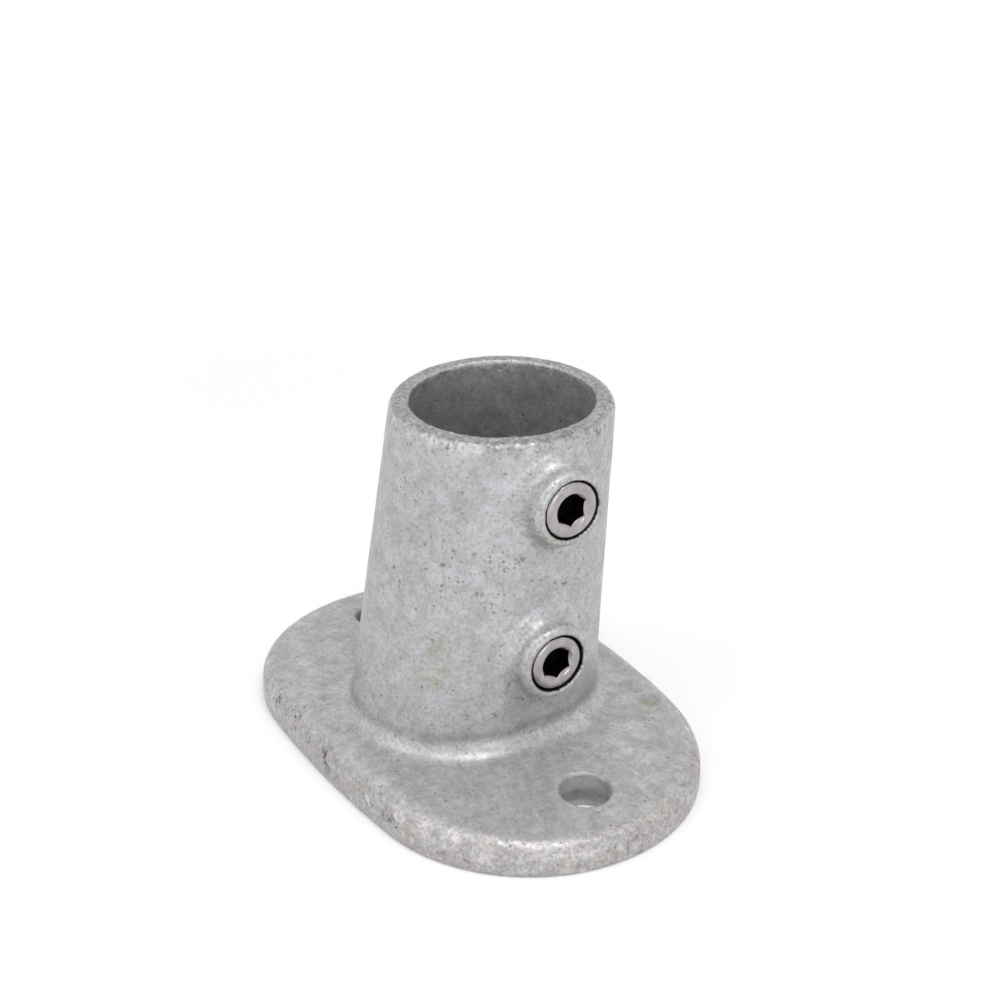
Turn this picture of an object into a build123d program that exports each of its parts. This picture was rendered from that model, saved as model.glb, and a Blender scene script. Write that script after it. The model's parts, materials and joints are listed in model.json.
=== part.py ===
from build123d import *

import os
from math import radians, sqrt, tan

# Base flange for a 48.3 mm tube that leans out of square: one casting and two set screws.
# Millimetres, +Z up, the origin at the centre of the plate's underside. The bolt holes lie
# along X, the socket leans towards +Y, and both screws are driven in from the +X side.

# Socket: two half-round walls whose axes lean by different angles. The bore between them is
# nearly round at the rim and a slot at the foot, so a tube can stand at any lean between.
tube_diameter = 48.3
tube_clearance = 1.05  # radial, round the tube
wall = 5.3
socket_height = 102.9  # rim above the plate's underside
steep_lean = 9.7  # degrees from vertical, -Y wall
shallow_lean = 3.0  # degrees from vertical, +Y wall
rim_slot = 0.4  # between the two axes at the rim
rim_round = 2.8  # outer edge of the rim
mouth_round = 0.8  # inner edge of the rim
foot_fillet = 5.6  # where the socket meets the plate

# Plate
plate_thickness = 12.6  # along the middle
plate_crown_radius = 704.0  # the upper face curves down towards both ends
plate_border = 12.35  # from the socket's foot out to the start of a long side
plate_side_bow = 1.3  # how far a long side bows out past the end radius
plate_edge_round = 6.0  # upper edge
plate_foot_round = 0.8  # lower edge
bolt_hole_diameter = 13.8
bolt_hole_gap = 25.3  # from the socket's side to a hole's centre
bolt_hole_inset = 20.9  # from a hole's centre to the plate's end
bolt_hole_round = 0.5  # upper end of a hole

# Bosses for the screws, close to the middle of the bore
upper_screw_drop = 18.2  # below the rim
lower_screw_rise = 26.5  # above the plate
upper_screw_shift = -0.6  # along Y from the bore's middle
lower_screw_shift = 0.6
boss_height = 7.0  # from the socket's side to a boss's face
boss_lip = 2.67  # round the thread
boss_fillet = 4.8  # where a boss meets the socket
boss_round = 2.0

# Set screws with a 3/8 inch pipe thread, modelled at its major diameter
thread_diameter = 16.66
thread_clearance = 0.05  # radial, between a screw and its hole
tap_chamfer = 0.5  # outer end of a tapped hole
tip_clearance = 0.1  # from the bore to the lower screw's tip
upper_screw_recess = 0.1  # a screw's face below its boss's face
lower_screw_recess = 0.3
screw_bevel = 1.1  # outer end
screw_tip_bevel = 1.5  # inner end
key_size = 8.0  # across the flats of the hexagon socket
key_depth = 6.0
key_flare = 0.6  # countersink past the hexagon's corners
key_flare_slope = 30.0  # degrees, countersink to the screw's face
upper_key_turn = 26.6  # degrees, as each screw was left
lower_key_turn = 31.7

steep_slope = tan(radians(steep_lean))
shallow_slope = tan(radians(shallow_lean))
rise = socket_height - plate_thickness
foot_slot = rim_slot + rise * (steep_slope - shallow_slope)  # between the two axes at the plate
rim_offset = rise * (steep_slope + shallow_slope) / 2  # so that the foot is centred on the plate
bore_radius = tube_diameter / 2 + tube_clearance
outer_radius = bore_radius + wall
plate_end_radius = outer_radius + foot_slot / 2 + plate_border
bolt_hole_x = outer_radius + bolt_hole_gap
plate_length = 2 * (bolt_hole_x + bolt_hole_inset)
thread_radius = thread_diameter / 2
boss_radius = thread_radius + boss_lip
boss_reach = outer_radius + boss_height
screw_length = boss_reach - lower_screw_recess - bore_radius - tip_clearance
upper_seat = (socket_height - upper_screw_drop, upper_screw_shift)
lower_seat = (plate_thickness + lower_screw_rise, lower_screw_shift)
overcut = 1.0  # how far a cutting shape runs past the face it opens
X_AXIS = (1, 0, 0)


def plate():
    """The base plate: two round ends and two gently bowed sides, with its edges rounded."""
    end_x = plate_length / 2 - plate_end_radius
    half_width = plate_end_radius + plate_side_bow
    side_radius = (end_x**2 + half_width**2 - plate_end_radius**2) / (2 * plate_side_bow)
    # a side arc meets an end arc on the line through their centres
    share = plate_end_radius / (side_radius - plate_end_radius)
    meet_x = end_x * (1 + share)
    meet_y = (side_radius - half_width) * share
    outline = [
        ThreePointArc((side * meet_x, -meet_y), (side * plate_length / 2, 0), (side * meet_x, meet_y))
        for side in (1, -1)
    ] + [
        ThreePointArc((-meet_x, side * meet_y), (0, side * half_width), (meet_x, side * meet_y))
        for side in (1, -1)
    ]
    slab = extrude(make_face(outline), amount=plate_thickness)
    crown = Pos(0, 0, plate_thickness - plate_crown_radius) * Rotation(90, 0, 0) * Cylinder(
        plate_crown_radius, 4 * half_width
    )
    slab &= crown
    slab = fillet(slab.faces().sort_by(Axis.Z)[-1].edges(), plate_edge_round)
    slab = fillet(slab.faces().sort_by(Axis.Z)[0].edges(), plate_foot_round)
    hole = Cylinder(bolt_hole_diameter / 2, 2 * plate_thickness + overcut)
    slab -= [Pos(side * bolt_hole_x, 0, 0) * hole for side in (1, -1)]
    mouths = slab.faces().sort_by(Axis.Z)[-1].inner_wires()
    return fillet([edge for mouth in mouths for edge in mouth.edges()], bolt_hole_round)


def axis_y(slope, y_at_rim, z):
    """Where a leaning axis stands along Y at height z."""
    return y_at_rim - (socket_height - z) * slope


def leaning_half(radius, slope, y_at_rim, towards):
    """Half of a round bar whose axis leans towards +Y and crosses the rim's plane at y_at_rim."""
    plane = Plane(origin=(0, y_at_rim, socket_height), x_dir=X_AXIS, z_dir=(0, slope, 1))
    half_disc = Circle(radius) & Pos(0, towards * radius) * Rectangle(2 * radius, 2 * radius)
    return extrude(plane * half_disc, amount=2 * socket_height, both=True)


def leaning_slot(radius, bottom, top):
    """A tapering slot-shaped bar: two leaning halves and the wedge between their axes."""
    steep = (steep_slope, rim_offset - rim_slot / 2)
    shallow = (shallow_slope, rim_offset + rim_slot / 2)
    corners = [
        (axis_y(*axis, z), z)
        for axis, z in ((steep, bottom), (shallow, bottom), (shallow, top), (steep, top))
    ]
    wedge = extrude(Plane.YZ * make_face(Polyline(*corners, close=True)), amount=radius, both=True)
    span = 8 * radius + 2 * socket_height
    middle = Pos(0, 0, (bottom + top) / 2) * Box(span, span, top - bottom)
    halves = [leaning_half(radius, *steep, -1) & middle, leaning_half(radius, *shallow, 1) & middle]
    return wedge + halves


def socket():
    """The outside of the socket, from within the plate up to the rounded rim."""
    bar = leaning_slot(outer_radius, plate_thickness / 2, socket_height)
    return fillet(bar.faces().sort_by(Axis.Z)[-1].edges(), rim_round)


def screw_plane(seat, x):
    """The plane across a screw's axis at distance x from the middle plane, facing out along +X."""
    height, shift = seat
    middle_y = axis_y((steep_slope + shallow_slope) / 2, rim_offset, height)
    centre = (x, middle_y + shift, height)
    return Plane(origin=centre, x_dir=(0, 1, 0), z_dir=X_AXIS)


def bar_on_seat(radius, seat, x_from, x_to):
    """A round bar on a screw's axis."""
    return extrude(screw_plane(seat, x_from) * Circle(radius), amount=x_to - x_from)


def flare(inner_radius, outer_radius, depth, seat, x_face):
    """A cone on a screw's axis that widens to outer_radius at x_face."""
    low_end = (Align.CENTER, Align.CENTER, Align.MIN)
    cone = Cone(inner_radius, outer_radius, depth, align=low_end)
    return screw_plane(seat, x_face - depth) * cone


def boss(seat):
    """The raised seat of one set screw, before its fillet to the socket."""
    stub = bar_on_seat(boss_radius, seat, bore_radius, boss_reach)
    return fillet(stub.edges().sort_by(Axis.X)[-1], boss_round)


def tapped_hole(seat):
    """What a screw's hole removes: a bore from the middle plane out, and its chamfered end."""
    radius = thread_radius + thread_clearance
    hole = bar_on_seat(radius, seat, 0, boss_reach)
    return hole + flare(radius, radius + tap_chamfer, tap_chamfer, seat, boss_reach)


def flange_casting():
    """Plate, socket and bosses as one casting, with the bore and the screws' holes cut."""
    base, tower = plate(), socket()
    body = base + tower
    body = fillet(new_edges(base, tower, combined=body), foot_fillet)
    for seat in (upper_seat, lower_seat):
        stub = boss(seat)
        joined = body + stub
        body = fillet(new_edges(body, stub, combined=joined), boss_fillet)
    body -= leaning_slot(bore_radius, -overcut, socket_height + overcut)
    rim = body.faces().filter_by(Axis.Z).sort_by(Axis.Z)[-1]
    body = fillet(rim.inner_wires()[0].edges(), mouth_round)
    return body - [tapped_hole(seat) for seat in (upper_seat, lower_seat)]


def set_screw(seat, recess, key_turn):
    """A headless screw with bevelled ends and a hexagon socket that flares at the face."""
    face_x = boss_reach - recess
    screw = bar_on_seat(thread_radius, seat, face_x - screw_length, face_x)
    screw = chamfer(screw.edges().sort_by(Axis.X)[-1], screw_bevel)
    screw = chamfer(screw.edges().sort_by(Axis.X)[0], screw_tip_bevel)
    hexagon = RegularPolygon(key_size / 2, 6, major_radius=False, rotation=key_turn)
    screw -= extrude(screw_plane(seat, face_x - key_depth) * hexagon, amount=key_depth)
    flare_radius = key_size / sqrt(3) + key_flare
    flare_depth = (flare_radius - key_size / 2) * tan(radians(key_flare_slope))
    return screw - flare(key_size / 2, flare_radius, flare_depth, seat, face_x)


pieces = {
    "flange_casting": flange_casting(),
    "upper_set_screw": set_screw(upper_seat, upper_screw_recess, upper_key_turn),
    "lower_set_screw": set_screw(lower_seat, lower_screw_recess, lower_key_turn),
}

os.makedirs("parts", exist_ok=True)
for name, piece in pieces.items():
    export_step(piece, f"parts/{name}.step")
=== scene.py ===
import json
import math

import bmesh
import bpy
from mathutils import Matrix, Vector


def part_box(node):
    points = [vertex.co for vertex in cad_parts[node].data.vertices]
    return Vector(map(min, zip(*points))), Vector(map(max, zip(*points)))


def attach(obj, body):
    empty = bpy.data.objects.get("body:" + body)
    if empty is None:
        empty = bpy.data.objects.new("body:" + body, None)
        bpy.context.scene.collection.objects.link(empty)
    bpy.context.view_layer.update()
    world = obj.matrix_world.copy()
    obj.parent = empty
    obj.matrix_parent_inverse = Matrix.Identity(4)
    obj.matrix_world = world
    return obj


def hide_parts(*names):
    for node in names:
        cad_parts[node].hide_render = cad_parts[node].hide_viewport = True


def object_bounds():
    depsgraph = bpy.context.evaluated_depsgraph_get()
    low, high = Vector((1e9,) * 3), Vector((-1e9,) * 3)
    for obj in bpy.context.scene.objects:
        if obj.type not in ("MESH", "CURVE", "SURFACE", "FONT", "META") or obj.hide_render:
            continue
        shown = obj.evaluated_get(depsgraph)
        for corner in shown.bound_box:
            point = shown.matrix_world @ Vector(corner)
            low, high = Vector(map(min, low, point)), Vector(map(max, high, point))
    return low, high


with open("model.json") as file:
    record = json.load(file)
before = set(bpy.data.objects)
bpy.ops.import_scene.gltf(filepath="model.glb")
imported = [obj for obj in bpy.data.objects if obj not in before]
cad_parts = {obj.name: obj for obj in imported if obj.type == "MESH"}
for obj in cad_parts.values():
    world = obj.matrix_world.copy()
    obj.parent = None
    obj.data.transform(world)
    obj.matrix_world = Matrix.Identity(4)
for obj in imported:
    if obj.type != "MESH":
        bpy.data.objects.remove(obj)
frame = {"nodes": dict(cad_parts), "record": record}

bl_info = {
    "name": "Tube clamp base flange",
    "version": (1, 0, 0),
    "blender": (4, 5, 0),
    "location": "3D View > Sidebar > Base flange",
    "description": "Finishes the casting, the set screws and the stage of a leaning tube clamp base",
    "category": "Add Mesh",
}

MM = 0.001
CAD_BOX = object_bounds()
SCREWS = {"upper": "upper_set_screw", "lower": "lower_set_screw"}
BOLTS = next(mount["dims"] for mount in frame["record"]["mounts"] if mount["name"] == "floor_bolts")


def linear(hex_colour):
    """An sRGB hex colour as linear red, green, blue and alpha."""
    shades = [int(hex_colour[i : i + 2], 16) / 255 for i in (1, 3, 5)]
    return [s / 12.92 if s <= 0.04045 else ((s + 0.055) / 1.055) ** 2.4 for s in shades] + [1.0]


def length(name, description, millimetres):
    """A length property, given in millimetres."""
    return bpy.props.FloatProperty(
        name=name, description=description, default=millimetres * MM, subtype="DISTANCE", unit="LENGTH"
    )


def angle(name, description, degrees):
    """An angle property, given in degrees."""
    return bpy.props.FloatProperty(
        name=name, description=description, default=math.radians(degrees), subtype="ANGLE"
    )


def power(name, description, watts):
    """The power of a lamp."""
    return bpy.props.FloatProperty(name=name, description=description, default=watts)


def share(name, description, default):
    """A property from 0 to 1."""
    return bpy.props.FloatProperty(
        name=name, description=description, default=default, min=0, max=1, subtype="FACTOR"
    )


def colour(name, description, hex_colour):
    """A colour property, given as sRGB hex."""
    return bpy.props.FloatVectorProperty(
        name=name, description=description, default=linear(hex_colour), size=4, min=0, max=1, subtype="COLOR"
    )


class CastingSettings(bpy.types.PropertyGroup):
    """Skin and zinc coat of the casting."""

    facet: length("Facet", "Edge length of the skin's faces before they are thinned", 0.62)
    faces: bpy.props.IntProperty(name="Faces", description="Triangles left in the skin", default=190000)
    grain_size: length("Grain size", "Sand grain that the mould left on the skin", 1.5)
    grain_height: length("Grain height", "Depth of the sand grain on the walls", 0.04)
    lump_size: length("Lump size", "Slow unevenness of the walls", 11)
    lump_height: length("Lump height", "Depth of the slow unevenness", 0.24)
    edge_size: length("Edge lump size", "Beads of zinc on the rim and on the plate's edge", 1.9)
    edge_height: length("Edge lump height", "Depth of the beads of zinc", 0.32)
    tapped_radius: length("Tapped radius", "Radius of the holes that are tapped for the screws", 8.38)
    seed: bpy.props.FloatProperty(name="Seed", description="Picks the pattern of the skin", default=4.0)
    zinc: colour("Zinc", "Weathered zinc coat", "#C5C7CA")
    dull_zinc: colour("Dull zinc", "Dull patches of the coat", "#B4B5B8")
    warm_zinc: colour("Warm zinc", "Faint warm tint of the coat", "#B7B1A9")
    # painted shade: the faces that lie level are darker
    level_face_shade: colour("Flat zinc", "Duller coat of the faces that lie level", "#A5A39D")
    # bright zinc also paints light: highlights on the beads' crests and the lit top of each bolt hole's wall
    bright_zinc_and_light: colour("Bright zinc", "Zinc rubbed bright on the crests of the rough places", "#F0ECEA")
    edge_zinc: colour("Edge zinc", "Faint warm tint of the coat on the plate's edge", "#B4B0AF")
    # the dirt colour also paints shade: in the hollows between the beads, in the crease at the socket's foot,
    # on the rounded lips of the bolt holes and, among the grime marks, on the rim's front
    dirt_and_shade: colour("Dirt", "Dirt in the pits and between the beads", "#66625E")
    # dark dirt also paints the shade in the middle of the bolt holes
    dark_dirt_and_shade: colour("Dark dirt", "Dirt in the scars and deep in the bolt holes", "#3C3936")
    residue: colour("Residue", "Yellow residue of the pickling bath", "#A8A078")
    # bare iron is near-black, so it also paints the shade in the gap round each screw
    bare_iron_and_shade: colour("Bare iron", "Oily iron of the tapped holes", "#221D1A")


class ScrewSettings(bpy.types.PropertyGroup):
    """Set screws with a pipe thread and a hexagon socket."""

    pitch: length("Pitch", "Distance between two crests, 19 to the inch", 1.337)
    depth: length("Thread depth", "Crest to root", 0.856)
    bevel: length("Bevel", "Rounding at the outer end", 1.3)
    upper_relief: length("Upper relief", "How far the upper screw's end stands back from its crests", 0.12)
    lower_relief: length("Lower relief", "How far the lower screw's end stands back from its crests", 0.32)
    tip_bevel: length("Tip bevel", "Chamfer at the inner end", 1.5)
    key_size: length("Key size", "Across the flats of the hexagon socket", 8)
    key_depth: length("Key depth", "Depth of the hexagon socket", 6)
    key_flare: length("Key flare", "Countersink past the hexagon's corners", 0.45)
    key_flare_slope: angle("Key flare slope", "Countersink to the screw's face", 42)
    lead_in: length("Lead in", "Plain length at the outer end, before the thread starts", 0.9)
    upper_turn: angle("Upper turn", "How far the upper screw is turned", 26.6)
    lower_turn: angle("Lower turn", "How far the lower screw is turned", 31.7)
    steel: colour("Steel", "Plated steel of the screws", "#A09B9C")
    pale_steel: colour("Pale steel", "Lighter patches of the plating", "#B0AAAC")
    # black and scale crest paint the inside of the hexagon socket nearly black: forging scale, and painted
    # shade deep in the socket
    black: colour("Black", "Forging scale and oil in the hexagon socket", "#050404")
    scale_crest: colour("Scale crest", "Crests of the forging scale", "#0C0A09")


class StageSettings(bpy.types.PropertyGroup):
    """Floor, light and camera."""

    floor_size: length("Floor size", "Side of the square floor", 6000)
    floor_white: colour("Floor white", "White of the floor", "#F4F4F4")
    azimuth: angle("Azimuth", "Camera's turn round the part, from looking along +Y", 57.0)
    elevation: angle("Elevation", "Camera above the horizon", 27.05)
    distance: length("Distance", "Camera to the aim point", 582.2)
    aim_right: length("Aim right", "Aim point to the right of the origin, in the camera's view", 7.59)
    aim_up: length("Aim up", "Aim point above the origin, in the camera's view", 65.9)
    lens: bpy.props.FloatProperty(
        name="Lens", description="Focal length in millimetres on a 36 mm sensor", default=71.53
    )
    base: share("Base", "Light level of the surround all round", 0.2)
    zenith: share("Zenith", "Light that the surround adds overhead", 0.55)
    front: share("Front", "Light that the surround adds on the camera's side", 0.16)
    behind: share("Behind", "Light that the surround adds behind the part", 0.18)
    left: share("Left", "Light that the surround adds on the camera's left", 0.16)
    right: share("Right", "Light that the surround adds on the camera's right", 0.22)
    glow: share("Glow", "Glow of the floor round the part, for the camera and for reflections", 0.14)
    far_glow: share("Far glow", "Glow of the floor far from the part", 0.5)
    glow_start: length("Glow start", "From the floor's middle to where its glow begins to change", 200)
    glow_end: length("Glow end", "From the floor's middle to where it has its far glow", 900)
    key: power("Key", "Power of the overhead softbox in watts", 1.8)
    fill: power("Fill", "Power of the softbox on the left in watts", 0.6)
    front_key: power("Front key", "Power of the softbox beside the camera in watts", 0.8)
    key_height: angle("Key height", "Elevation of the overhead softbox, on the camera's side", 72)


MATH = "ShaderNodeMath"
VECTOR = "ShaderNodeVectorMath"
RANGE = "ShaderNodeMapRange"
MIX = "ShaderNodeMix"
NOISE = "ShaderNodeTexNoise"
EASED = {"interpolation_type": "SMOOTHSTEP"}


def add(tree, kind, inputs=(), **settings):
    """Adds a node with its settings, gives its inputs values or links, in order or by name, and returns
    its outputs."""
    node = tree.nodes.new(kind)
    for name, value in settings.items():
        setattr(node, name, value)
    for key, value in (inputs if isinstance(inputs, dict) else dict(enumerate(inputs))).items():
        if isinstance(value, bpy.types.NodeSocket):
            tree.links.new(value, node.inputs[key])
        elif value is not None:
            node.inputs[key].default_value = value
    return node.outputs


def geometry_tree(name, sockets):
    """A Geometry Nodes tree with one named input per entry of sockets: the tree, what its inputs give and
    where its result goes."""
    tree = bpy.data.node_groups.new(name, "GeometryNodeTree")
    tree.interface.new_socket("Geometry", in_out="INPUT", socket_type="NodeSocketGeometry")
    tree.interface.new_socket("Geometry", in_out="OUTPUT", socket_type="NodeSocketGeometry")
    for socket, kind in sockets.items():
        tree.interface.new_socket(socket, in_out="INPUT", socket_type=kind)
    return tree, tree.nodes.new("NodeGroupInput").outputs, tree.nodes.new("NodeGroupOutput").inputs[0]


def set_inputs(modifier, values):
    """Gives a Geometry Nodes modifier its inputs, by the sockets' identifiers."""
    for item in modifier.node_group.interface.items_tree:
        if item.in_out == "INPUT" and item.name in values:
            modifier[item.identifier] = values[item.name]


def bake(source, name):
    """A new object with the evaluated mesh of source, which is removed."""
    bpy.context.view_layer.update()
    evaluated = source.evaluated_get(bpy.context.evaluated_depsgraph_get())
    mesh = bpy.data.meshes.new_from_object(evaluated)
    mesh.name = name
    bpy.data.objects.remove(source)
    piece = bpy.data.objects.new(name, mesh)
    bpy.context.scene.collection.objects.link(piece)
    return piece


def screw_seat(node):
    """Where a screw's face stands on its axis, its radius and its length, from its CAD solid."""
    low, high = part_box(node)
    face = Vector((high.x, (low.y + high.y) / 2, (low.z + high.z) / 2))
    return face, (high.z - low.z) / 2, high.x - low.x


# --- Casting -----------------------------------------------------------------------------

# Marks on the casting: where the middle of each one is and its radius, in millimetres. At least 31 of these
# places are copied from what a scratch program printed, and don't come from the frame.
SCARS = (
    ((29.4, -4.1, 70.2), 1.8), ((29.8, -2.4, 69.5), 1.3), ((28.4, -7.4, 67.4), 1.4),
    ((27.8, -8.6, 69.0), 1.2), ((18.1, -21.0, 68.2), 1.2), ((14.0, -23.8, 66.4), 1.2),
    ((25.5, -14.2, 60.8), 1.6), ((30.4, 9.8, 59.2), 1.6), ((23.8, -14.7, 72.3), 1.0),
    ((29.4, -12.1, 23.6), 1.4),
)
CHIPS = (
    ((-31.6, -47.9, 8.1), 3.0), ((-18.4, -47.9, 10.1), 2.4), ((-10.0, -49.3, 8.1), 3.0),
    ((0.0, -49.4, 8.2), 2.6), ((1.5, -49.5, 4.4), 3.0), ((32.6, -48.2, 6.4), 3.2),
    ((36.2, -47.7, 5.9), 2.6), ((18.5, 33.3, 102.1), 2.6), ((28.1, 22.0, 100.0), 2.0),
    ((15.3, -17.2, 101.2), 1.6),
)
CROWDS = (
    ((19.2, -23.5, 48.0), 4.0), ((19.3, -25.7, 34.5), 5.0), ((14.9, -28.6, 35.6), 4.0),
    ((27.5, -9.6, 67.0), 6.0), ((22.4, -18.6, 59.6), 5.5), ((27.0, -11.0, 57.0), 5.0),
    ((17.0, -21.5, 67.5), 4.5), ((20.9, -15.0, 88.9), 3.5), ((6.0, -24.0, 88.0), 6.0),
    ((29.4, -12.1, 23.6), 4.0), ((31.0, -6.0, 84.0), 5.0), ((31.0, -8.0, 44.0), 6.0),
)
# grime on the plate; the five marks on the rim's front are painted shade that dims the highlight on its
# rounding
GRIME_AND_RIM_SHADE = (
    ((23.5, -7.4, 102.4), 4.5), ((26.0, -2.0, 102.4), 4.5), ((-0.3, -39.8, 12.8), 3.5),
    ((-2.1, -44.1, 12.5), 2.5), ((-19.4, -38.3, 12.3), 2.5), ((32.0, 40.0, 11.9), 4.5),
    ((28.4, 3.6, 101.5), 4.0), ((28.1, 11.0, 101.5), 4.0), ((26.8, -3.6, 101.0), 3.5),
)
STAINS = (
    ((20.2, -22.9, 44.7), 7.0), ((19.3, -25.0, 36.0), 7.0), ((32.8, 36.6, 11.8), 5.0),
    ((36.3, 0.0, 76.2), 4.2), ((36.5, 3.5, 73.8), 3.0), ((36.0, -4.6, 32.4), 4.6),
    ((36.4, 0.5, 28.9), 3.4), ((35.5, 3.0, 95.6), 3.2),
)
WORN = (
    ((11.4, -19.1, 100.9), 2.4), ((15.3, -17.2, 100.6), 2.2), ((19.0, -14.6, 100.8), 3.0),
    ((21.4, -12.5, 100.9), 2.4), ((52.9, -40.5, 8.1), 4.0), ((60.5, -36.1, 5.5), 4.5),
    ((45.0, -44.5, 8.0), 4.0), ((37.0, -47.0, 8.0), 3.5),
)
# a nib of zinc on the rim, half as high as its radius
NIB = ((23.4, -1.7, 102.9), 1.6)
# from the wall of a hole to where the skin round it begins to be uneven, and to where it is so in full
CALM_BAND = (0.2 * MM, 1.5 * MM)


def distance_from_axis(tree, position, seat):
    """How far a point stands from a screw's axis, which runs along X."""
    flat = add(tree, VECTOR, (position, (0, 1, 1)), operation="MULTIPLY")[0]
    return add(tree, VECTOR, (flat, (0, seat.y, seat.z)), operation="DISTANCE")["Value"]


def marks(tree, place, spots, strength):
    """strength at the middle of each spot, falling to 0 at its radius."""
    found = 0.0
    for centre, radius in spots:
        away = add(tree, VECTOR, (place, centre), operation="DISTANCE")["Value"]
        spot = add(tree, RANGE, (away, radius, 0.4 * radius, 0.0, strength), **EASED)[0]
        found = add(tree, MATH, (found, spot), operation="MAXIMUM")[0]
    return found


def trued(tree, point, centre, radius, where):
    """Moves the points where where is 1 onto the wall of a hole. centre is the point of its axis beside
    each one."""
    radial = add(tree, VECTOR, (point, centre), operation="SUBTRACT")[0]
    away = add(tree, VECTOR, (radial,), operation="LENGTH")["Value"]
    stretch = add(tree, MATH, (radius, away), operation="DIVIDE")[0]
    arm = add(tree, VECTOR, {0: radial, "Scale": stretch}, operation="SCALE")[0]
    wall = add(tree, VECTOR, (centre, arm), operation="ADD")[0]
    return add(tree, MIX, {0: where, 4: point, 5: wall}, data_type="VECTOR")[1]


def cast_skin_tree():
    """Geometry Nodes that true the tapped holes of a smooth skin, and lift and sink the rest of it as sand
    grain, slow lumps and beads of zinc."""
    tree, asked, result = geometry_tree("Cast skin", {
        "Grain Size": "NodeSocketFloat", "Grain Height": "NodeSocketFloat",
        "Lump Size": "NodeSocketFloat", "Lump Height": "NodeSocketFloat",
        "Edge Size": "NodeSocketFloat", "Edge Height": "NodeSocketFloat",
        "Tapped Radius": "NodeSocketFloat", "Hole Radius": "NodeSocketFloat", "Hole Place": "NodeSocketFloat",
        "Low Corner": "NodeSocketVector", "High Corner": "NodeSocketVector",
        "Seed": "NodeSocketFloat", "Material": "NodeSocketMaterial",
    })
    position = add(tree, "GeometryNodeInputPosition")[0]
    normal = add(tree, "GeometryNodeInputNormal")[0]
    x, y, z = add(tree, "ShaderNodeSeparateXYZ", (position,))
    upward = add(tree, "ShaderNodeSeparateXYZ", (normal,))[2]

    # The rim, the plate's rounded edge, the socket's foot and the screws' bosses are the rough places.
    # Each range gives where such a place begins and where it is rough in full.
    rim_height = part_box("flange_casting")[1].z
    rim = add(tree, RANGE, (z, rim_height - 6 * MM, rim_height - 2 * MM), **EASED)[0]
    steep = add(tree, RANGE, (upward, 0.993, 0.9), **EASED)[0]
    edge = add(tree, RANGE, (z, 12 * MM, 10.5 * MM, 0.0, steep), **EASED)[0]
    foot = add(tree, RANGE, (upward, 0.1, 0.4, 0.0, 0.4), **EASED)[0]
    foot = add(tree, RANGE, (z, 12.4 * MM, 13.2 * MM, 0.0, foot), **EASED)[0]
    foot = add(tree, RANGE, (z, 22 * MM, 17 * MM, 0.0, foot), **EASED)[0]
    edge = add(tree, MATH, (edge, foot), operation="MAXIMUM")[0]

    # the walls and mouths of the bolt holes stay smooth
    aside = add(tree, MATH, (x,), operation="ABSOLUTE")[0]
    aside = add(tree, MATH, (aside, asked["Hole Place"]), operation="SUBTRACT")[0]
    around = add(tree, "ShaderNodeCombineXYZ", (aside, y))[0]
    past_hole = add(tree, VECTOR, (around,), operation="LENGTH")["Value"]
    past_hole = add(tree, MATH, (past_hole, asked["Hole Radius"]), operation="SUBTRACT")[0]
    edge = add(tree, RANGE, (past_hole, 0.8 * MM, 2 * MM, 0.0, edge), **EASED)[0]
    edge = add(tree, MATH, (rim, edge), operation="MAXIMUM")[0]

    # tapped holes are trued; all holes and the face that rests on the floor stay smooth
    calm = add(tree, RANGE, (upward, -0.9, -0.5), **EASED)[0]
    calm = add(tree, RANGE, (past_hole, *CALM_BAND, 0.0, calm), **EASED)[0]
    tapped = 0.0
    point = position
    for node in SCREWS.values():
        seat, _, _ = screw_seat(node)
        past = distance_from_axis(tree, position, seat)
        past = add(tree, MATH, (past, asked["Tapped Radius"]), operation="SUBTRACT")[0]
        calm = add(tree, RANGE, (past, *CALM_BAND, 0.0, calm), **EASED)[0]
        outside = add(tree, MATH, (x, seat.x / 2), operation="GREATER_THAN")[0]
        near = add(tree, RANGE, (past, 0.31 * MM, 0.3 * MM, 0.0, outside))[0]
        tapped = add(tree, MATH, (tapped, near), operation="MAXIMUM")[0]
        centre = add(tree, "ShaderNodeCombineXYZ", (x, seat.y, seat.z))[0]
        point = trued(tree, point, centre, asked["Tapped Radius"], near)
        flank = add(tree, RANGE, (past, 10 * MM, 4 * MM, 0.0, 0.75), **EASED)[0]
        flank = add(tree, RANGE, (x, seat.x - 10 * MM, seat.x - 7 * MM, 0.0, flank), **EASED)[0]
        edge = add(tree, MATH, (edge, flank), operation="MAXIMUM")[0]

    reliefs = []
    for kind, detail in (("Grain", 2.0), ("Lump", 1.0), ("Edge", 1.5)):
        scale = add(tree, MATH, (1.0, asked[kind + " Size"]), operation="DIVIDE")[0]
        value = add(tree, NOISE, (position, asked["Seed"], scale, detail), noise_dimensions="4D")[0]
        value = add(tree, MATH, (value, 0.5), operation="SUBTRACT")[0]
        reliefs.append(add(tree, MATH, (value, asked[kind + " Height"]), operation="MULTIPLY")[0])
    grain, lump, bead = reliefs
    bead = add(tree, MATH, (bead, edge), operation="MULTIPLY")[0]
    rise = add(tree, MATH, (grain, lump), operation="ADD")[0]
    rise = add(tree, MATH, (rise, bead), operation="ADD")[0]
    rise = add(tree, MATH, (rise, calm), operation="MULTIPLY")[0]
    nib, nib_radius = NIB
    away = add(tree, VECTOR, (position, Vector(nib) * MM), operation="DISTANCE")["Value"]
    lift = add(tree, RANGE, (away, nib_radius * MM, 0.0, 0.0, 0.5 * nib_radius * MM), **EASED)[0]
    rise = add(tree, MATH, (rise, lift), operation="ADD")[0]
    offset = add(tree, VECTOR, {0: normal, "Scale": rise}, operation="SCALE")[0]
    point = add(tree, VECTOR, (point, offset), operation="ADD")[0]
    point = add(tree, VECTOR, (point, asked["Low Corner"]), operation="MAXIMUM")[0]
    point = add(tree, VECTOR, (point, asked["High Corner"]), operation="MINIMUM")[0]

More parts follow.
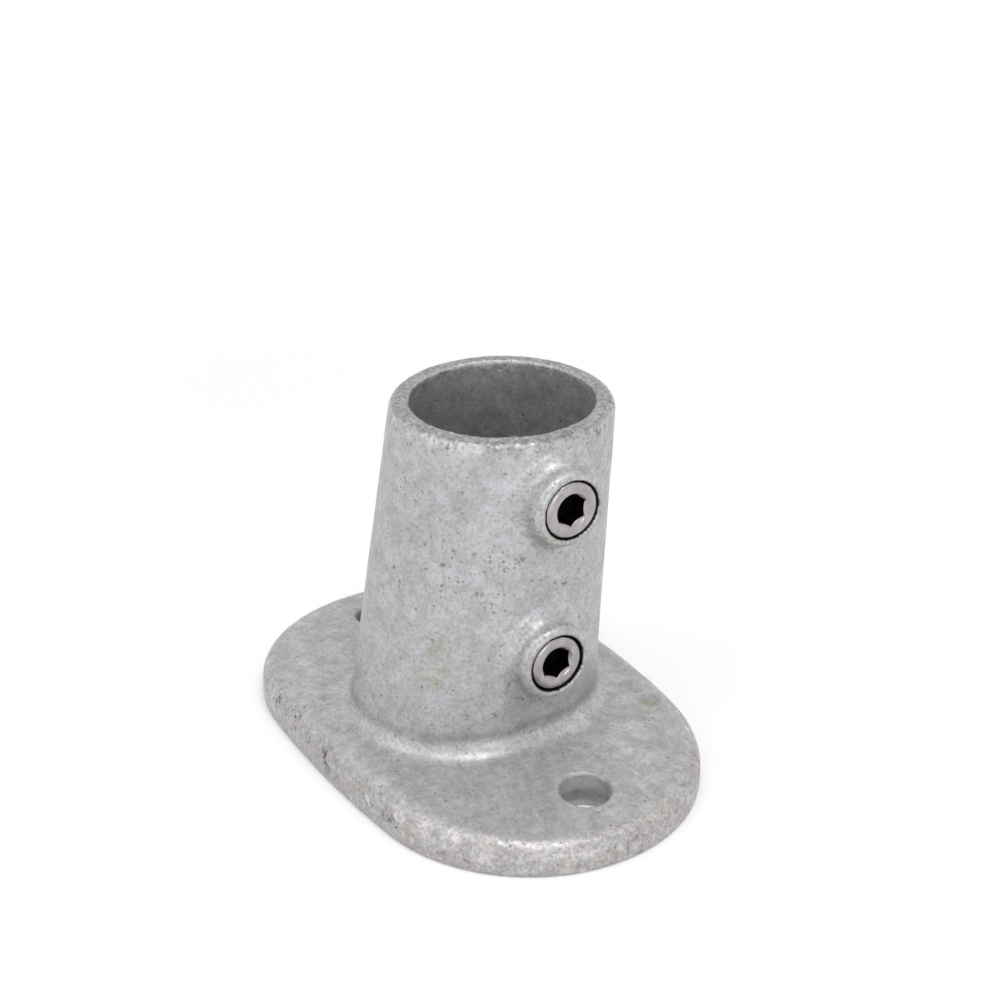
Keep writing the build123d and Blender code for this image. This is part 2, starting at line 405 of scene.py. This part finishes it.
    geometry = asked["Geometry"]
    kept = {"edge": edge, "bead": bead, "tapped": tapped, "upward": upward, "past_hole": past_hole}
    for name, value in kept.items():
        inputs = {"Geometry": geometry, "Name": name, "Value": value}
        geometry = add(tree, "GeometryNodeStoreNamedAttribute", inputs, data_type="FLOAT")[0]
    geometry = add(tree, "GeometryNodeSetPosition", {"Geometry": geometry, "Position": point})[0]
    geometry = add(tree, "GeometryNodeRealizeInstances", (geometry,))[0]
    geometry = add(tree, "GeometryNodeSetMaterial", {"Geometry": geometry, "Material": asked["Material"]})[0]
    tree.links.new(geometry, result)
    return tree


def merged_copy(node, name):
    """A copy of a CAD node's mesh with its loose triangles joined up."""
    mesh = frame["nodes"][node].data.copy()
    mesh.materials.clear()
    made = bmesh.new()
    made.from_mesh(mesh)
    bmesh.ops.remove_doubles(made, verts=made.verts, dist=0.001 * MM)
    made.to_mesh(mesh)
    made.free()
    copy = bpy.data.objects.new(name, mesh)
    bpy.context.scene.collection.objects.link(copy)
    return copy


def pits(tree, place, height, edge):
    """How deep a point lies in a pit, from 0 to 1. Some cells of a Voronoi pattern hold one pit each. They
    stand in crowds, above all in a belt of the socket's wall and in the rough places."""
    bend = add(tree, NOISE, (place, None, 1.1, 2.0))["Color"]
    bend = add(tree, VECTOR, {0: bend, "Scale": 0.9}, operation="SCALE")[0]
    bent = add(tree, VECTOR, (place, bend), operation="ADD")[0]
    cells = add(tree, "ShaderNodeTexVoronoi", (bent, None, 1 / 1.5))
    chosen = add(tree, "ShaderNodeSeparateColor", (cells["Color"],))
    crowd = add(tree, NOISE, (place, None, 1 / 9.0, 2.0))[0]
    belt = add(tree, RANGE, (height, 50.0, 60.0, 0.0, 0.14), **EASED)[0]
    belt = add(tree, RANGE, (height, 76.0, 68.0, 0.0, belt), **EASED)[0]
    crowd = add(tree, MATH, (crowd, belt), operation="ADD")[0]
    crowd = add(tree, MATH, (edge, 0.14, crowd), operation="MULTIPLY_ADD")[0]
    crowd = add(tree, MATH, (crowd, marks(tree, place, CROWDS, 0.16)), operation="ADD")[0]
    crowd = add(tree, RANGE, (crowd, 0.45, 0.72, 0.94, 0.45), **EASED)[0]
    pick = add(tree, MATH, (chosen[0], crowd), operation="GREATER_THAN")[0]
    width = add(tree, RANGE, (chosen[1], 0.0, 1.0, 0.12, 0.44))[0]
    return add(tree, RANGE, (cells["Distance"], width, 0.0, 0.0, pick))[0]


def galvanised_iron(settings):
    """Malleable iron, sand cast and hot-dip galvanised, then weathered: a pale satin grey, faintly
    mottled and speckled, with crowds of small dark pits, beads on the rim and the plate's edge with painted
    highlights on their crests and painted shade between them, dirty patches there, yellow residue where the
    bath drained off the screws' bosses, and painted light and shade in the bolt holes, in the crease at the
    socket's foot, on the rim's front, in the gap round the screws and on the faces that lie level."""
    material = bpy.data.materials.new("galvanised_malleable_iron")
    material.use_nodes = True
    tree = material.node_tree
    shader = tree.nodes["Principled BSDF"]
    metres = add(tree, "ShaderNodeTexCoord")["Object"]
    place = add(tree, VECTOR, {0: metres, "Scale": 1 / MM}, operation="SCALE")[0]
    height = add(tree, "ShaderNodeSeparateXYZ", (place,))[2]
    edge, bead, tapped, upward, past_hole = (
        add(tree, "ShaderNodeAttribute", attribute_name=name)["Fac"]
        for name in ("edge", "bead", "tapped", "upward", "past_hole")
    )
    # place, height and the sizes of the patterns are in millimetres, bead and past_hole in metres
    # each pattern's size, detail and roughness
    clouds, warmth, speck, blotch, ripple, shine = (
        add(tree, NOISE, (place, None, 1 / size, detail, roughness))[0]
        for size, detail, roughness in (
            (6.0, 5.0, 0.6), (23.0, 2.0, 0.5), (0.9, 2.0, 0.6),
            (1.3, 2.0, 0.6), (2.6, 2.0, 0.5), (5.0, 3.0, 0.5),
        )
    )
    dark_speck = add(tree, RANGE, (upward, 0.5, 0.9, 0.28, 0.2), **EASED)[0]
    dark_speck = add(tree, RANGE, (edge, 0.0, 1.0, dark_speck, 0.32), **EASED)[0]
    pale_speck = add(tree, RANGE, (edge, 0.0, 1.0, 0.12, 0.28), **EASED)[0]

    pit = pits(tree, place, height, edge)

    # residue in patches round the bosses' lips, dirty patches on top of the rim
    lips = 0.0
    for node in SCREWS.values():
        seat, radius, _ = screw_seat(node)
        away = distance_from_axis(tree, place, seat / MM)
        lip = add(tree, RANGE, (away, 12.3, 10.2, 0.0, 0.42), **EASED)[0]
        lip = add(tree, RANGE, (away, radius / MM, radius / MM + 0.6, 0.0, lip), **EASED)[0]
        lips = add(tree, MATH, (lips, lip), operation="MAXIMUM")[0]
    flat_rim = add(tree, RANGE, (height, 99.5, 101.5), **EASED)[0]
    flat_rim = add(tree, RANGE, (upward, 0.5, 0.9, 0.0, flat_rim), **EASED)[0]
    rim_dirt = add(tree, MATH, (flat_rim, 0.7), operation="MULTIPLY")[0]
    scars = marks(tree, place, SCARS, 0.6)
    scars = add(tree, MATH, (scars, marks(tree, place, CHIPS, 0.85)), operation="MAXIMUM")[0]
    stains = marks(tree, place, STAINS, 0.32)
    worn = marks(tree, place, WORN, 0.6)
    grime_and_rim_shade = marks(tree, place, GRIME_AND_RIM_SHADE, 0.5)
    plate_edge = add(tree, RANGE, (height, 13.0, 9.0, 0.0, edge), **EASED)[0]
    level = add(tree, RANGE, (upward, 0.8, 0.99, 0.0, 0.42), **EASED)[0]
    mottle = add(tree, MATH, (level, 0.2, 0.13), operation="MULTIPLY_ADD")[0]
    mottle = add(tree, MATH, (plate_edge, 0.15, mottle), operation="MULTIPLY_ADD")[0]
    # painted light and shade in the bolt holes: the top of each hole's wall lighter, its middle darker
    in_hole = add(tree, RANGE, (past_hole, 0.6 * MM, 0.3 * MM), **EASED)[0]
    deep = add(tree, RANGE, (height, 7.0, 4.5, 0.0, in_hole), **EASED)[0]
    deep = add(tree, RANGE, (height, 1.0, 3.0, 0.0, deep), **EASED)[0]
    painted_light_in_hole = add(tree, RANGE, (past_hole, 0.1 * MM, 0.0, 0.0, 1.0), **EASED)[0]
    painted_light_in_hole = add(tree, RANGE, (height, 5.5, 8.5, 0.0, painted_light_in_hole), **EASED)[0]
    # painted shade on the rounded lip of each bolt hole, which dims its highlight
    hole_lip_shade = add(tree, RANGE, (past_hole, 1.0 * MM, 0.6 * MM, 0.0, 1.0), **EASED)[0]
    hole_lip_shade = add(tree, RANGE, (upward, 0.2, 0.5, 0.0, hole_lip_shade), **EASED)[0]
    # painted shade: darker where the wall meets its fillet
    foot = add(tree, RANGE, (height, 20.0, 17.0), **EASED)[0]
    foot = add(tree, RANGE, (height, 14.0, 16.0, 0.0, foot), **EASED)[0]
    foot = add(tree, RANGE, (upward, 0.6, 0.3, 0.0, foot), **EASED)[0]

    # What lies on the dull zinc, in layers: a pattern, its values where the layer begins and ends, how much
    # of the layer lies at each of them (0 and 1 where none is given), and its colour
    layers = (
        ((clouds, 0.3, 0.7), settings.zinc),
        ((warmth, 0.5, 0.7, 0.0, 0.35), settings.warm_zinc),
        # painted shade: darker on the faces that lie level
        ((shine, 0.35, 0.65, 0.0, level), settings.level_face_shade),
        ((ripple, 0.35, 0.65, 0.0, mottle), settings.dirt_and_shade),
        ((shine, 0.3, 0.6, 0.0, plate_edge), settings.edge_zinc),
        ((speck, 0.5, 0.3, 0.0, dark_speck), settings.dirt_and_shade),
        ((speck, 0.5, 0.7, 0.0, pale_speck), settings.bright_zinc_and_light),
        ((foot, 0.0, 1.0, 0.0, 0.2), settings.dirt_and_shade),
        ((pit, 0.0, 0.7, 0.0, 0.62), settings.dirt_and_shade),
        # painted highlight on the crests of the beads and painted shade in the hollows between them
        ((bead, 0.01 * MM, 0.08 * MM, 0.0, 0.45), settings.bright_zinc_and_light),
        ((bead, -0.02 * MM, -0.09 * MM, 0.0, 0.5), settings.dirt_and_shade),
        ((blotch, 0.3, 0.7, rim_dirt, 0.1), settings.dirt_and_shade),
        # grime on the plate, and painted shade on the rim's front
        ((blotch, 0.68, 0.38, 0.0, grime_and_rim_shade), settings.dirt_and_shade),
        ((blotch, 0.56, 0.36, 0.0, scars), settings.dark_dirt_and_shade),
        ((ripple, 0.4, 0.62, 0.0, stains), settings.residue),
        ((blotch, 0.5, 0.65, 0.0, lips), settings.residue),
        ((blotch, 0.3, 0.75, 0.0, worn), settings.bright_zinc_and_light),
        ((painted_light_in_hole, 0.0, 1.0, 0.0, 0.3), settings.bright_zinc_and_light),
        ((deep, 0.0, 1.0, 0.0, 0.4), settings.dark_dirt_and_shade),
        ((hole_lip_shade, 0.0, 1.0, 0.0, 0.25), settings.dirt_and_shade),
        # near-black tapped walls: oily iron, and painted shade in the gap round each screw
        ((tapped, 0.0, 1.0), settings.bare_iron_and_shade),
    )
    tint = settings.dull_zinc
    for spread, shade in layers:
        amount = add(tree, RANGE, spread, **EASED)[0]
        tint = add(tree, MIX, {0: amount, 6: tint, 7: shade}, data_type="RGBA")[2]

    rough = add(tree, MATH, (edge, 0.05, 0.03), operation="MULTIPLY_ADD")[0]
    relief = add(tree, MATH, (ripple, 0.05), operation="MULTIPLY")[0]
    relief = add(tree, MATH, (speck, rough, relief), operation="MULTIPLY_ADD")[0]
    relief = add(tree, MATH, (pit, -0.12, relief), operation="MULTIPLY_ADD")[0]
    bump = add(tree, "ShaderNodeBump", {"Strength": 1.0, "Distance": MM, "Height": relief})[0]
    gloss = add(tree, RANGE, (shine, 0.3, 0.7, 0.4, 0.52), **EASED)[0]
    # white rust on the level faces leaves less of the metal's gloss
    metal = add(tree, RANGE, (upward, 0.8, 0.99, 0.7, 0.4), **EASED)[0]
    tree.links.new(metal, shader.inputs["Metallic"])
    tree.links.new(tint, shader.inputs["Base Color"])
    tree.links.new(gloss, shader.inputs["Roughness"])
    tree.links.new(bump, shader.inputs["Normal"])
    return material


class FLANGE_OT_casting(bpy.types.Operator):
    """Gives the flange casting its uneven cast skin and its zinc coat"""

    bl_idname = "flange.casting"
    bl_label = "Casting"

    def execute(self, context):
        settings = context.scene.flange_casting
        skin = merged_copy("flange_casting", "casting_blank")
        remesh = skin.modifiers.new("Skin", "REMESH")
        remesh.mode = "VOXEL"
        remesh.voxel_size = settings.facet
        remesh.use_smooth_shade = True
        smooth = skin.modifiers.new("Smooth", "SMOOTH")
        smooth.iterations = 3
        low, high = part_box("flange_casting")
        # thinning carries some corners slightly past the box that the skin is held in
        low += Vector((0.01, 0.01, 0.001)) * MM
        high -= Vector((0.01, 0.01, 0.01)) * MM
        surface = skin.modifiers.new("Cast skin", "NODES")
        surface.node_group = cast_skin_tree()
        set_inputs(surface, {
            "Grain Size": settings.grain_size, "Grain Height": settings.grain_height,
            "Lump Size": settings.lump_size, "Lump Height": settings.lump_height,
            "Edge Size": settings.edge_size, "Edge Height": settings.edge_height,
            "Tapped Radius": settings.tapped_radius, "Hole Radius": BOLTS["hole_r_mm"] * MM,
            "Hole Place": BOLTS["spacing_x_mm"] / 2 * MM, "Low Corner": low, "High Corner": high,
            "Seed": settings.seed, "Material": galvanised_iron(settings),
        })
        fine = bake(skin, "casting_fine")
        triangles = 2 * len(fine.data.polygons)
        thin = fine.modifiers.new("Thin", "DECIMATE")
        thin.ratio = min(1.0, settings.faces / triangles)
        casting = bake(fine, "galvanised_casting")
        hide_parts("flange_casting")
        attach(casting, "flange")
        return {"FINISHED"}


# --- Set screws --------------------------------------------------------------------------


# A screw's faces: rows below the flare of its key socket, rows round its outer end and the turn from one
# to the next, the height of a row on its shank, and columns round its axis
KEY_ROWS = 4
END_ROWS = 8
END_ROW_TURN = math.radians(12)
SHANK_ROW = 0.12 * MM
COLUMNS = 144
SOFT = 0.12 * MM  # width of a softened corner
SHARP = math.radians(35)  # an edge that turns more than this is shaded sharp
# the drill's cone below the key socket, and a ring on it: its depth and its share of the socket's width
CONE_DEPTH = 1.3 * MM
RING_DEPTH = 0.9 * MM
RING_SHARE = 0.4


def screw_profile(turn, radius, end_radius, reach, settings):
    """Points (x, r) of a screw's outline at one turn, from the floor of its key socket round the face
    and down the shank to the tip. x is 0 at the face and falls towards the tip. end_radius is the
    radius of the outer end, just before the thread."""
    side = math.radians(60)
    hexagon = settings.key_size / 2 / math.cos(turn % side - side / 2)
    flare = settings.key_size / 2 / math.cos(side / 2) + settings.key_flare
    wall_top = -(flare - hexagon) * math.tan(settings.key_flare_slope)
    rows = [
        (-settings.key_depth - RING_DEPTH, RING_SHARE * hexagon),
        (-settings.key_depth, hexagon - SOFT),
        (-settings.key_depth + SOFT, hexagon),
        (wall_top - SOFT, hexagon),
        (wall_top + 0.3 * SOFT, hexagon + SOFT),
        (-0.5 * SOFT, flare - SOFT),
        (0, flare + SOFT),
    ]
    for step in range(END_ROWS):
        bend = step * END_ROW_TURN
        back = settings.bevel * (1 - math.cos(bend))
        inset = settings.bevel * (1 - math.sin(bend))
        rows.append((-back, end_radius - inset))
    shank_end = -reach + settings.tip_bevel
    shank_rows = round((-settings.bevel - shank_end) / SHANK_ROW)
    for row in range(1, shank_rows + 1):
        rows.append((-settings.bevel + (shank_end + settings.bevel) * row / shank_rows, radius))
    rows.append((-reach + 2 * SOFT, radius - settings.tip_bevel + 2 * SOFT))
    rows.append((-reach, radius - settings.tip_bevel - SOFT))
    return rows


def screw_blank(radius, end_radius, reach, settings):
    """A screw without its thread, on the X axis with its face at x = 0."""
    mesh = bpy.data.meshes.new("screw_blank")
    made = bmesh.new()
    columns = []
    for step in range(COLUMNS):
        turn = 2 * math.pi * step / COLUMNS
        column = [
            made.verts.new((x, r * math.cos(turn), r * math.sin(turn)))
            for x, r in screw_profile(turn, radius, end_radius, reach, settings)
        ]
        columns.append(column)
    cone = made.verts.new((-settings.key_depth - CONE_DEPTH, 0, 0))
    tip = made.verts.new((-reach, 0, 0))
    for column, following in zip(columns, columns[1:] + columns[:1]):
        made.faces.new((cone, column[0], following[0])).material_index = 1
        made.faces.new((tip, following[-1], column[-1]))
        for row in range(len(column) - 1):
            face = made.faces.new((column[row], column[row + 1], following[row + 1], following[row]))
            face.material_index = int(row < KEY_ROWS)
    bmesh.ops.recalc_face_normals(made, faces=made.faces)
    for face in made.faces:
        face.smooth = True
    made.to_mesh(mesh)
    made.free()
    mesh.set_sharp_from_angle(angle=SHARP)
    blank = bpy.data.objects.new("screw_blank", mesh)
    bpy.context.scene.collection.objects.link(blank)
    return blank


def seated_screw_tree():
    """Geometry Nodes that cut a helical thread into a screw blank, then turn it and set it on its seat."""
    tree, asked, result = geometry_tree("Seated screw", {
        "Radius": "NodeSocketFloat", "Pitch": "NodeSocketFloat", "Depth": "NodeSocketFloat",
        "Lead In": "NodeSocketFloat", "Turn": "NodeSocketFloat", "Seat": "NodeSocketVector",
        "Steel": "NodeSocketMaterial", "Black": "NodeSocketMaterial",
    })
    position = add(tree, "GeometryNodeInputPosition")[0]
    x, y, z = add(tree, "ShaderNodeSeparateXYZ", (position,))
    across = add(tree, "ShaderNodeCombineXYZ", (0.0, y, z))[0]
    radius = add(tree, VECTOR, (across,), operation="LENGTH")["Value"]
    # 0 on a crest, 1 in a root
    turns = add(tree, MATH, (z, y), operation="ARCTAN2")[0]
    turns = add(tree, MATH, (turns, 2 * math.pi), operation="DIVIDE")[0]
    phase = add(tree, MATH, (x, asked["Pitch"]), operation="DIVIDE")[0]
    phase = add(tree, MATH, (phase, turns), operation="ADD")[0]
    groove = add(tree, MATH, (phase, 0.5), operation="PINGPONG")[0]
    groove = add(tree, RANGE, (groove, 0.04, 0.46), **EASED)[0]
    # the thread begins behind the lead-in and is at its full depth 2.2 times as far back
    start = add(tree, MATH, (asked["Lead In"], -1.0), operation="MULTIPLY")[0]
    full = add(tree, MATH, (asked["Lead In"], -2.2), operation="MULTIPLY")[0]
    groove = add(tree, RANGE, (x, start, full, 0.0, groove), **EASED)[0]
    cut = add(tree, MATH, (groove, asked["Depth"]), operation="MULTIPLY")[0]
    threaded = add(tree, MATH, (asked["Radius"], cut), operation="SUBTRACT")[0]
    threaded = add(tree, MATH, (radius, threaded), operation="MINIMUM")[0]
    scale = add(tree, MATH, (threaded, radius), operation="DIVIDE")[0]
    across = add(tree, VECTOR, {0: across, "Scale": scale}, operation="SCALE")[0]
    along = add(tree, "ShaderNodeCombineXYZ", (x,))[0]
    moved = add(tree, VECTOR, (along, across), operation="ADD")[0]
    in_key = add(tree, "GeometryNodeInputMaterialIndex")[0]
    inputs = {"Geometry": asked["Geometry"], "Name": "in_key", "Value": in_key}
    geometry = add(tree, "GeometryNodeStoreNamedAttribute", inputs, data_type="FLOAT", domain="FACE")[0]
    geometry = add(tree, "GeometryNodeSetPosition", {"Geometry": geometry, "Position": moved})[0]
    turn = add(tree, "ShaderNodeCombineXYZ", (asked["Turn"],))[0]
    inputs = {"Geometry": geometry, "Translation": asked["Seat"], "Rotation": turn}
    geometry = add(tree, "GeometryNodeTransform", inputs)[0]
    geometry = add(tree, "GeometryNodeRealizeInstances", (geometry,))[0]
    geometry = add(tree, "GeometryNodeSetMaterial", {"Geometry": geometry, "Material": asked["Steel"]})[0]
    in_key = add(tree, "GeometryNodeInputNamedAttribute", {"Name": "in_key"}, data_type="FLOAT")[0]
    in_key = add(tree, MATH, (in_key, 0.5), operation="GREATER_THAN")[0]
    inputs = {"Geometry": geometry, "Selection": in_key, "Material": asked["Black"]}
    geometry = add(tree, "GeometryNodeSetMaterial", inputs)[0]
    tree.links.new(geometry, result)
    return tree


def plated_steel(settings):
    """Alloy steel, turned and plated: a slightly warm grey metal with a soft, streaky gloss."""
    material = bpy.data.materials.new("plated_alloy_steel")
    material.use_nodes = True
    tree = material.node_tree
    shader = tree.nodes["Principled BSDF"]
    metres = add(tree, "ShaderNodeTexCoord")["Object"]
    place = add(tree, VECTOR, {0: metres, "Scale": 1 / MM}, operation="SCALE")[0]
    speck = add(tree, NOISE, (place, None, 1 / 0.5, 3.0))[0]
    patch = add(tree, NOISE, (place, None, 1 / 3.0, 2.0))[0]
    patch = add(tree, RANGE, (patch, 0.35, 0.65), **EASED)[0]
    tint = add(tree, MIX, {0: patch, 6: settings.steel, 7: settings.pale_steel}, data_type="RGBA")[2]
    gloss = add(tree, RANGE, (speck, 0.3, 0.7, 0.2, 0.3), **EASED)[0]
    bump = add(tree, "ShaderNodeBump", {"Strength": 0.5, "Distance": 0.03 * MM, "Height": speck})[0]
    shader.inputs["Metallic"].default_value = 1.0
    tree.links.new(tint, shader.inputs["Base Color"])
    tree.links.new(gloss, shader.inputs["Roughness"])
    tree.links.new(bump, shader.inputs["Normal"])
    return material


def socket_scale_and_shade(settings):
    """Forging scale soaked in oil, and painted shade: nearly black and dull, deep in the hexagon socket."""
    material = bpy.data.materials.new("socket_scale_and_painted_shade")
    material.use_nodes = True
    tree = material.node_tree
    shader = tree.nodes["Principled BSDF"]
    metres = add(tree, "ShaderNodeTexCoord")["Object"]
    grit = add(tree, NOISE, (metres, None, 1 / (0.6 * MM), 3.0))[0]
    patch = add(tree, RANGE, (grit, 0.4, 0.7), **EASED)[0]
    tint = add(tree, MIX, {0: patch, 6: settings.black, 7: settings.scale_crest}, data_type="RGBA")[2]
    gloss = add(tree, RANGE, (grit, 0.3, 0.7, 0.6, 0.8), **EASED)[0]
    tree.links.new(tint, shader.inputs["Base Color"])
    tree.links.new(gloss, shader.inputs["Roughness"])
    shader.inputs["Specular IOR Level"].default_value = 0.05
    return material


class FLANGE_OT_set_screws(bpy.types.Operator):
    """Makes both set screws with their thread and key socket"""

    bl_idname = "flange.set_screws"
    bl_label = "Set screws"

    def execute(self, context):
        settings = context.scene.flange_screws
        steel, black = plated_steel(settings), socket_scale_and_shade(settings)
        tree = seated_screw_tree()
        turns = {"upper": settings.upper_turn, "lower": settings.lower_turn}
        reliefs = {"upper": settings.upper_relief, "lower": settings.lower_relief}
        for where, node in SCREWS.items():
            seat, radius, reach = screw_seat(node)
            blank = screw_blank(radius, radius - reliefs[where], reach, settings)
            thread = blank.modifiers.new("Seated screw", "NODES")
            thread.node_group = tree
            set_inputs(thread, {
                "Radius": radius, "Pitch": settings.pitch, "Depth": settings.depth,
                "Lead In": settings.lead_in, "Turn": turns[where], "Seat": seat,
                "Steel": steel, "Black": black,
            })
            screw = bake(blank, f"{where}_set_screw_threaded")
            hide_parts(node)
            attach(screw, f"{where}_screw")
        return {"FINISHED"}


# --- Stage -------------------------------------------------------------------------------


def seen(tree):
    """1 for rays from the camera, from a glossy surface or through glass, so that those show the
    background."""
    path = add(tree, "ShaderNodeLightPath")
    shown = 0.0
    for ray in ("Is Camera Ray", "Is Glossy Ray", "Is Transmission Ray"):
        shown = add(tree, MATH, (shown, path[ray]), operation="MAXIMUM")[0]
    return shown


def floor(settings):
    """A white table top that keeps a soft shadow."""
    bpy.ops.mesh.primitive_plane_add(size=settings.floor_size)
    table = bpy.context.object
    table.name = "floor"
    material = bpy.data.materials.new("white_table")
    material.use_nodes = True
    tree = material.node_tree
    shader = tree.nodes["Principled BSDF"]
    shader.inputs["Base Color"].default_value = settings.floor_white
    shader.inputs["Roughness"].default_value = 0.9
    # the lamps light the middle of the table most, so it glows more farther out
    place = add(tree, "ShaderNodeTexCoord")["Object"]
    away = add(tree, VECTOR, (place,), operation="LENGTH")["Value"]
    spread = (away, settings.glow_start, settings.glow_end, settings.glow, settings.far_glow)
    glow = add(tree, RANGE, spread, **EASED)[0]
    strength = add(tree, MATH, (seen(tree), glow), operation="MULTIPLY")[0]
    light = add(tree, "ShaderNodeEmission", {"Strength": strength})[0]
    both = add(tree, "ShaderNodeAddShader", (shader.outputs[0], light))[0]
    tree.links.new(both, tree.nodes["Material Output"].inputs["Surface"])
    table.data.materials.append(material)


def surround(settings, towards, side):
    """A white surround: seen at full strength, while it lights the part softly from all round, with more
    from overhead. towards and side point to the camera and to its right, along the floor."""
    world = bpy.data.worlds.new("white_surround")
    bpy.context.scene.world = world
    world.use_nodes = True
    tree = world.node_tree
    background = tree.nodes["Background"]
    background.inputs["Color"].default_value = linear("#FFFFFF")
    direction = add(tree, "ShaderNodeTexCoord")["Generated"]
    level = settings.base
    sources = (
        (Vector((0, 0, 1)), settings.zenith), (towards, settings.front), (-towards, settings.behind),
        (-side, settings.left), (side, settings.right),
    )
    for axis, strength in sources:
        facing = add(tree, VECTOR, (direction, axis), operation="DOT_PRODUCT")["Value"]
        facing = add(tree, MATH, (facing, 0.0), operation="MAXIMUM")[0]
        level = add(tree, MATH, (facing, strength, level), operation="MULTIPLY_ADD")[0]
    strength = add(tree, MIX, {0: seen(tree), 2: level, 3: 1.0}, data_type="FLOAT")[0]
    tree.links.new(strength, background.inputs["Strength"])


def softbox(name, place, aim, size, watts):
    """A square area lamp at place, facing aim."""
    lamp = bpy.data.lights.new(name, "AREA")
    lamp.size = size
    lamp.energy = watts
    holder = bpy.data.objects.new(name, lamp)
    holder.location = place
    holder.rotation_euler = (Vector(aim) - Vector(place)).to_track_quat("-Z", "Y").to_euler()
    holder.visible_camera = False
    bpy.context.scene.collection.objects.link(holder)


class FLANGE_OT_stage(bpy.types.Operator):
    """Makes the floor, the surround, the lamps and the camera"""

    bl_idname = "flange.stage"
    bl_label = "Stage"

    def execute(self, context):
        settings = context.scene.flange_stage
        middle = (CAD_BOX[0] + CAD_BOX[1]) / 2
        # back, side and over point from the part to the camera, to the camera's right and to its top;
        # towards points to the camera along the floor
        azimuth, elevation = settings.azimuth, settings.elevation
        flat = math.cos(elevation)
        back = Vector((math.sin(azimuth) * flat, -math.cos(azimuth) * flat, math.sin(elevation)))
        side = Vector((math.cos(azimuth), math.sin(azimuth), 0))
        over = back.cross(side)
        towards = Vector((back.x, back.y, 0)).normalized()
        upright = Vector((0, 0, 1))
        floor(settings)
        surround(settings, towards, side)
        overhead = math.cos(settings.key_height) * towards + math.sin(settings.key_height) * upright
        beside = 0.87 * towards + 0.41 * side + 0.18 * upright
        # each softbox's place from the middle of the part and its side, both in metres, and its power
        lamps = {
            "overhead_softbox": (0.8 * overhead + 0.12 * side, 0.3, settings.key),
            "left_softbox": (0.65 * overhead - 0.45 * side, 0.45, settings.fill),
            "front_softbox": (0.9 * beside, 0.3, settings.front_key),
        }
        for name, (offset, size, watts) in lamps.items():
            softbox(name, middle + offset, middle, size, watts)
        # the view is centred above the part, where its tube would stand
        aim = settings.aim_right * side + settings.aim_up * over
        lens = bpy.data.cameras.new("camera")
        lens.lens = settings.lens
        lens.sensor_width = 36
        lens.clip_start = 0.01
        camera = bpy.data.objects.new("camera", lens)
        camera.location = aim + settings.distance * back
        camera.rotation_euler = (-back).to_track_quat("-Z", "Y").to_euler()
        context.scene.collection.objects.link(camera)
        context.scene.camera = camera
        context.scene.view_settings.view_transform = "Standard"
        return {"FINISHED"}


class FLANGE_PT_panel(bpy.types.Panel):
    """Lists the pieces and the stage"""

    bl_label = "Base flange"
    bl_space_type = "VIEW_3D"
    bl_region_type = "UI"
    bl_category = "Base flange"

    def draw(self, context):
        groups = (
            (FLANGE_OT_casting, context.scene.flange_casting),
            (FLANGE_OT_set_screws, context.scene.flange_screws),
            (FLANGE_OT_stage, context.scene.flange_stage),
        )
        for operator, settings in groups:
            box = self.layout.box()
            box.operator(operator.bl_idname)
            for name in settings.bl_rna.properties.keys():
                if name not in ("rna_type", "name"):
                    box.prop(settings, name)


SETTINGS = {
    "flange_casting": CastingSettings,
    "flange_screws": ScrewSettings,
    "flange_stage": StageSettings,
}
OPERATORS = (FLANGE_OT_casting, FLANGE_OT_set_screws, FLANGE_OT_stage)


def register():
    for name, group in SETTINGS.items():
        bpy.utils.register_class(group)
        setattr(bpy.types.Scene, name, bpy.props.PointerProperty(type=group))
    for kind in (*OPERATORS, FLANGE_PT_panel):
        bpy.utils.register_class(kind)


def unregister():
    for kind in (FLANGE_PT_panel, *reversed(OPERATORS)):
        bpy.utils.unregister_class(kind)
    for name, group in SETTINGS.items():
        delattr(bpy.types.Scene, name)
        bpy.utils.unregister_class(group)


def main():
    register()
    bpy.ops.flange.casting()
    bpy.ops.flange.set_screws()
    bpy.ops.flange.stage()


if __name__ == "__main__":
    main()
